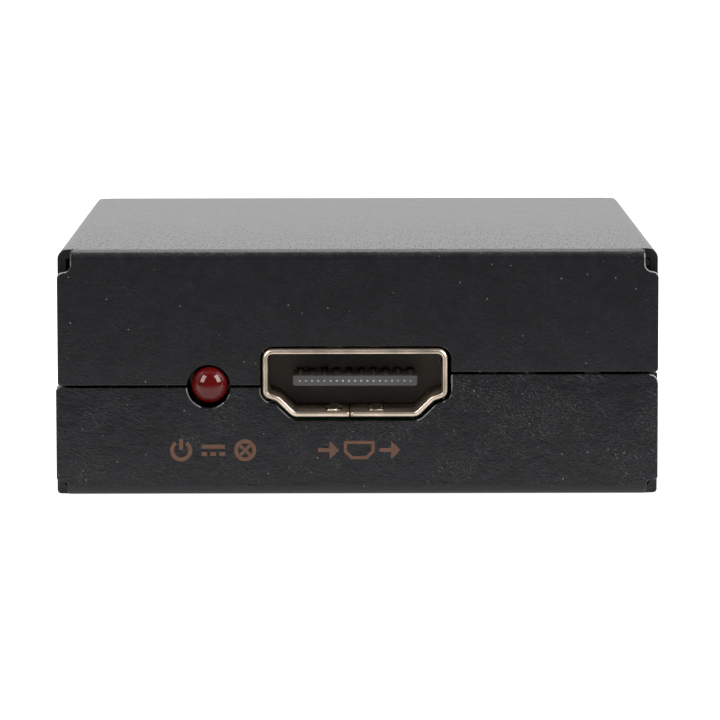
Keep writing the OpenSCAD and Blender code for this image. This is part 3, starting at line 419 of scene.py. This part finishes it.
mouth_flat = 0.001
slit_clear = 0.3
rolled_segments = 6
plating = metal("gold_flash", (0.97, 0.81, 0.65), rough=0.34, grain=4200, relief=0.025, dirt=0.6)
contact_gold = metal("contact_gold", (0.75, 0.71, 0.63), rough=0.4, grain=3000, dirt=0.6)
port_black = plastic("port_moulding_black", (0.075, 0.075, 0.078), rough=0.5)
for end in ("front", "rear"):
    dressed(f"{end}_shell_stamping", f"{end}_port_shell", plating, edge=0.12,
            segments=4, rolled=0.26)
    dressed(f"{end}_insulator_moulding", f"{end}_port_insulator", port_black, edge=0.03)
    dressed(f"{end}_contact_blades", f"{end}_port_contacts", contact_gold, edge=0.02)

# Power lamp
# A 3 mm lamp of red cast resin with a flat on its rim. It looks out through the hole that
# the cover and the tray share, and its two tinned leads bend down into the board.
lamp_low, lamp_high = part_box("power_led_lens")
rim_r = (lamp_high.z - lamp_low.z) / 2
lamp_axis = Vector((lamp_low.x + rim_r, 0, (lamp_low.z + lamp_high.z) / 2))
rim_front = lamp_high.y - 1 * MM
dome_r = 1.5 * MM
dome_steps = 14
lens_steps = 64
lens_weld = 0.001 * MM
tin = metal("bright_tin", (0.72, 0.73, 0.74), rough=0.25)
resin, tree, shader, place = finish("red_resin", Roughness=0.06, IOR=1.53, Specular_IOR_Level=0.43)
swirl = add(tree, "TexNoise", {"Vector": place, "Scale": 700, "Detail": 3})
cast = blended(tree, swirl.outputs["Fac"], (0.08, 0.0025, 0.0025), (0.11, 0.004, 0.004))
ripple = add(tree, "Bump", {"Height": swirl.outputs["Fac"], "Strength": 0.3, "Distance": 0.0005 * MM})
feed(tree, shader, Base_Color=cast, Normal=ripple.outputs["Normal"])
lens = bmesh.new()
outline = [(0, lamp_high.y), (rim_r, lamp_high.y), (rim_r, rim_front), (dome_r, rim_front)]
outline += [(dome_r * math.cos(a), lamp_low.y + dome_r - dome_r * math.sin(a))
            for a in (math.pi / 2 * i / dome_steps for i in range(dome_steps + 1))]
ring = [lens.verts.new(lamp_axis + Vector((r, y, 0))) for r, y in outline]
line = [lens.edges.new(pair) for pair in zip(ring, ring[1:])]
bmesh.ops.spin(lens, geom=ring + line, cent=lamp_axis, axis=(0, 1, 0), dvec=(0, 0, 0), angle=math.tau,
               steps=lens_steps, use_merge=True, use_duplicate=False)
bmesh.ops.remove_doubles(lens, verts=lens.verts, dist=lens_weld)
bmesh.ops.bisect_plane(lens, geom=lens.verts[:] + lens.edges[:] + lens.faces[:], dist=lens_weld / 10,
                       plane_co=(lamp_high.x, 0, 0), plane_no=(1, 0, 0), clear_outer=True)
bmesh.ops.holes_fill(lens, edges=[e for e in lens.edges if e.is_boundary])
bmesh.ops.recalc_face_normals(lens, faces=lens.faces)
lamp_lens = placed("lamp_lens", lens, resin)
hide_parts("power_led_lens")
dressed("lamp_posts", "power_led_leads", tin, edge=0.04)

# Mode switch
# Four slide levers in a blue housing over a black one, with generic numbers and ON in
# white on its face. Its tinned pins are soldered into the board.
switch_edge = 0.08
switch_blue = plastic("switch_blue", (0.03, 0.075, 0.3), rough=0.4)
switch_black = plastic("switch_black", (0.02, 0.02, 0.022), rough=0.45)
lever_white = plastic("lever_white", (0.78, 0.78, 0.74), rough=0.4)
white_ink = plastic("white_ink", (0.8, 0.8, 0.78), rough=0.6)
dressed("switch_face_housing", "mode_switch_cover", switch_blue, switch_edge)
dressed("switch_rear_housing", "mode_switch_base", switch_black, switch_edge)
dressed("switch_pin_set", "mode_switch_pins", tin, edge=0.04)
for number in (1, 2, 3, 4):
    dressed(f"lever_{number}_slider", f"mode_lever_{number}", lever_white, switch_edge,
            body=f"lever_{number}")

switch_low, switch_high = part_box("mode_switch_cover")
ink_thick = 0.015
letter_h = 1.5
digit_up = 1.2
on_in = 1.6
on_down = 1.1
letter_weld = 0.0005


def lettered(name, words, x, z):
    """Words printed on the switch's face, to be read from the rear, with their middle at x and z."""
    curve = bpy.data.curves.new(name, "FONT")
    curve.body = words
    curve.size = letter_h * MM
    curve.align_x = "CENTER"
    curve.align_y = "CENTER"
    curve.extrude = ink_thick / 2 * MM
    curve.resolution_u = 4
    writing = bpy.data.objects.new(name, curve)
    bpy.context.scene.collection.objects.link(writing)
    bpy.context.view_layer.update()
    shape = bmesh.new()
    shape.from_mesh(writing.to_mesh())
    bpy.data.objects.remove(writing)
    bmesh.ops.remove_doubles(shape, verts=shape.verts, dist=letter_weld * MM)
    upright = Matrix.Rotation(math.pi, 4, "Z") @ Matrix.Rotation(math.pi / 2, 4, "X")
    move = Matrix.Translation((x, switch_high.y + ink_thick / 2 * MM, z)) @ upright
    bmesh.ops.transform(shape, matrix=move, verts=shape.verts)
    placed(name, shape, white_ink)


for number in (1, 2, 3, 4):
    lever_low, lever_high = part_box(f"mode_lever_{number}")
    lettered(f"switch_digit_{number}", str(number), (lever_low.x + lever_high.x) / 2,
             switch_low.z + digit_up * MM)
lettered("switch_on_mark", "ON", switch_high.x - on_in * MM, switch_high.z - on_down * MM)

# Chips
# Black moulded packages with tinned gull-wing leads, soldered to the board's top face:
# controller, memories, surge arrays, regulator and transistors.
chip_edge = 0.02
moulding = plastic("chip_compound", (0.022, 0.022, 0.024), rough=0.6, relief=0.01, grain=4000)
for name, node in (("controller_body", "controller_chip"), ("memory_bodies", "memory_chips"),
                   ("surge_array_bodies", "surge_arrays"), ("regulator_package", "regulator_body"),
                   ("transistor_bodies", "signal_transistors")):
    dressed(name, node, moulding, chip_edge)
for name, node in (("controller_leads", "controller_pins"), ("memory_leads", "memory_pins"),
                   ("surge_array_leads", "surge_array_pins"), ("regulator_leads", "regulator_pins"),
                   ("transistor_leads", "transistor_pins"), ("capacitor_tabs", "capacitor_leads"),
                   ("chip_terminals", "chip_end_caps")):
    dressed(name, node, tin, chip_edge)

# Passive parts
# A crystal in a ceramic carrier with a nickel lid, a reservoir capacitor in a rolled can,
# and the small fired resistors and capacitors, all soldered to the board's top face.
ceramic = plastic("crystal_ceramic", (0.4, 0.35, 0.27), rough=0.6)
nickel = metal("brushed_nickel", (0.66, 0.65, 0.63), rough=0.3, grain=5000, stretch=(0.05, 1, 1))
aluminium = metal("rolled_aluminium", (0.78, 0.79, 0.8), rough=0.25, grain=3000, stretch=(1, 1, 0.1))
glaze_black = plastic("resistor_glaze", (0.02, 0.02, 0.022), rough=0.25)
tan = plastic("capacitor_ceramic", (0.42, 0.28, 0.16), rough=0.5)
for name, node, slot, material, edge in (
        ("crystal_carrier", "crystal_base", "crystal_ceramic", ceramic, 0.05),
        ("crystal_cap", "crystal_lid", "lid_steel", nickel, 0.08),
        ("capacitor_sleeve", "capacitor_can", "can_aluminium", aluminium, 0.1),
        ("capacitor_foot", "capacitor_base", "switch_black", switch_black, 0.06),
        ("resistor_chips", "chip_resistors", "resistor_black", glaze_black, 0.03),
        ("capacitor_chips", "chip_capacitors", "capacitor_tan", tan, 0.03)):
    dressed(name, node, material, edge)


# Steel cover
# The upper half, folded from the same sheet and coated with the tray; it drops over the
# board, meets the tray at the seam and is screwed to the tray's lugs.
def gritty_top(material):
    """Dull pits in the coat of the top, denser towards the front and drawn out in depth, the
    way the spray gun passed."""
    tree = material.node_tree
    shader = tree.nodes["Principled BSDF"]
    place = add(tree, "TexCoord").outputs["Object"]
    at = add(tree, "SeparateXYZ", {"Vector": place})
    on_top = add(tree, "MapRange", {"Value": at.outputs["Z"], "From Min": top_from * MM,
                                    "From Max": top_full * MM})
    dense = add(tree, "MapRange", {"Value": at.outputs["Y"], "From Min": front_y * MM,
                                   "From Max": grit_back_y * MM, "To Min": 0.75, "To Max": 0.06})
    area = add(tree, "Math", {0: on_top.outputs["Result"], 1: dense.outputs["Result"]},
               operation="MULTIPLY")
    drawn_out = add(tree, "Mapping", {"Vector": place, "Scale": (1, 5, 1)}, vector_type="TEXTURE")
    grit = add(tree, "TexNoise", {"Vector": drawn_out.outputs["Vector"], "Scale": 6000, "Detail": 1})
    pits = add(tree, "MapRange", {"Value": grit.outputs["Fac"], "From Min": 0.58, "From Max": 0.68})
    dull = add(tree, "Math", {0: pits.outputs["Result"], 1: area.outputs["Value"]}, operation="MULTIPLY")
    gloss = shader.inputs["Roughness"].links[0].from_socket
    rough = add(tree, "Mix", {"Factor": dull.outputs["Value"], "A": gloss, "B": 0.7}, data_type="FLOAT")
    feed(tree, shader, Roughness=rough.outputs["Result"])


top_from = 19.97
top_full = 19.995
grit_back_y = 2
# The cover's coat is given a paler colour than the tray's: painted light, one coat in two colours to fit
# how each half is lit
cover_coat = powder_coat("cover_powder_coat", (0.009, 0.009, 0.0106), relief=0.05, painted_crest_highlight=1.5)
gritty_top(cover_coat)

# The two upper corners in front, worn and with a painted highlight round their notches: middle, radius and
# wear
cover_rubs_and_glints = [((side * 24.2, front_y - 0.6, 18.6), 1.6, 0.58) for side in (-1, 1)]
dressed("cover_sheet", "top_cover", cover_coat, coat_edge, rubs_and_glints=cover_rubs_and_glints,
        worn=coat_worn, weld=sheet_weld)
black_nickel = metal("black_nickel", (0.2, 0.2, 0.21), rough=0.3)
dressed("cover_screw_set", "cover_screws", black_nickel, edge=0.05)

# Panel print
# Generic signs in copper-coloured ink: power, direct current and lamp under the lamp, and
# arrows into and out of a socket under the receptacle.
ink, tree, shader, place = finish("copper_ink", Roughness=0.55, Specular_IOR_Level=0.3)
coat = use(tree, wrinkle, Vector=place)
mottle = add(tree, "TexNoise", {"Vector": place, "Scale": 2500, "Detail": 3})
inked = blended(tree, mottle.outputs["Fac"], (0.088, 0.044, 0.029), (0.143, 0.072, 0.047))
through = add(tree, "Bump", {"Height": coat["Height"], "Strength": 1.0, "Distance": 0.02 * MM})
feed(tree, shader, Base_Color=inked, Normal=through.outputs["Normal"])

stroke = 0.32
sign_h = 1.8
sign_z = 3.66
arc_step = 9


def bar_sign(flat, x, z, width, height, slant=0.0):
    """A flat bar, its middle at x and z from the row's left end and middle line."""
    made = bmesh.ops.create_grid(flat, x_segments=1, y_segments=1, size=0.5)["verts"]
    bmesh.ops.scale(flat, vec=(width, height, 1), verts=made)
    bmesh.ops.rotate(flat, cent=(0, 0, 0), matrix=Matrix.Rotation(math.radians(slant), 3, "Z"), verts=made)
    bmesh.ops.translate(flat, vec=(x, z, 0), verts=made)


def arc_sign(flat, x, radius, start=0.0, sweep=360.0):
    """A stroke along an arc on the middle line, from its start angle, measured from the right,
    anticlockwise."""
    a = math.radians(start)
    ends = [flat.verts.new((x + r * math.cos(a), r * math.sin(a), 0))
            for r in (radius - stroke / 2, radius + stroke / 2)]
    across = flat.edges.new(ends)
    bmesh.ops.spin(flat, geom=[*ends, across], cent=(x, 0, 0), axis=(0, 0, 1), dvec=(0, 0, 0),
                   angle=math.radians(sweep), steps=round(sweep / arc_step), use_merge=sweep == 360,
                   use_duplicate=False)


def arrow_sign(flat, x, length):
    """An arrow that points right, its tail at x."""
    head = sign_h * 0.42
    side = [(0, stroke / 2), (length - head, stroke / 2), (length - head, head)]
    points = [(dx, -dz) for dx, dz in side] + [(length, 0)] + side[::-1]
    flat.faces.new([flat.verts.new((x + dx, dz, 0)) for dx, dz in points])


def socket_sign(flat, x, width, height):
    """The outline of a socket with two cut lower corners."""
    cut = height * 0.4
    corners = ((cut, 0), (width - cut, 0), (width, cut), (width, height), (0, height), (0, cut))
    face = flat.faces.new([flat.verts.new((x + dx, dz - height / 2, 0)) for dx, dz in corners])
    face.normal_update()
    bmesh.ops.inset_region(flat, faces=[face], thickness=stroke * 0.8, use_even_offset=True,
                           use_boundary=True)
    bmesh.ops.delete(flat, geom=[face], context="FACES_ONLY")


def printed(name, flat, left):
    """The row of signs, a thin layer of ink on the tray's front face."""
    grown = bmesh.ops.extrude_face_region(flat, geom=flat.faces[:])["geom"]
    raised = [v for v in grown if isinstance(v, bmesh.types.BMVert)]
    bmesh.ops.translate(flat, vec=(0, 0, ink_thick), verts=raised)
    bmesh.ops.recalc_face_normals(flat, faces=flat.faces)
    upright = Matrix.Rotation(math.pi / 2, 4, "X")
    move = Matrix.Translation(Vector((left, front_y, sign_z)) * MM) @ upright @ Matrix.Scale(MM, 4)
    bmesh.ops.transform(flat, matrix=move, verts=flat.verts)
    placed(name, flat, ink)


sign_r = (sign_h - stroke) / 2
lamp_row_left = -15.2
lamp_row = bmesh.new()

power_x = 0.9
power_gap = 70
power_bar_z = 0.5
power_bar_h = 0.9
arc_sign(lamp_row, power_x, sign_r, start=90 + power_gap / 2, sweep=360 - power_gap)
bar_sign(lamp_row, power_x, power_bar_z, stroke, power_bar_h)

current_x = 3.5
current_w = 1.9
current_off = 0.3
dash_w = 0.46
dash_pitch = 0.72
bar_sign(lamp_row, current_x, current_off, current_w, stroke)
for step in (-1, 0, 1):
    bar_sign(lamp_row, current_x + step * dash_pitch, -current_off, dash_w, stroke)

lamp_x = 6.1
sliver = 0.02
spoke = sign_r - stroke / 2 - sliver
spoke_half = stroke * 0.4
arc_sign(lamp_row, lamp_x, sign_r)
bar_sign(lamp_row, lamp_x, 0, 2 * spoke, 2 * spoke_half, slant=45)
for side in (-1, 1):
    off = side * (spoke + spoke_half + sliver) / 2 * math.sqrt(0.5)
    bar_sign(lamp_row, lamp_x + off, -off, spoke - spoke_half - sliver, 2 * spoke_half, slant=-45)
printed("lamp_signs", lamp_row, lamp_row_left)

port_row_left = -3.18
arrow_w = 1.7
socket_w = 2.5
socket_h = 1.5
sign_gap = 0.4
port_row = bmesh.new()
arrow_sign(port_row, 0, arrow_w)
socket_sign(port_row, arrow_w + sign_gap, socket_w, socket_h)
arrow_sign(port_row, arrow_w + socket_w + 2 * sign_gap, arrow_w)
printed("port_signs", port_row, port_row_left)
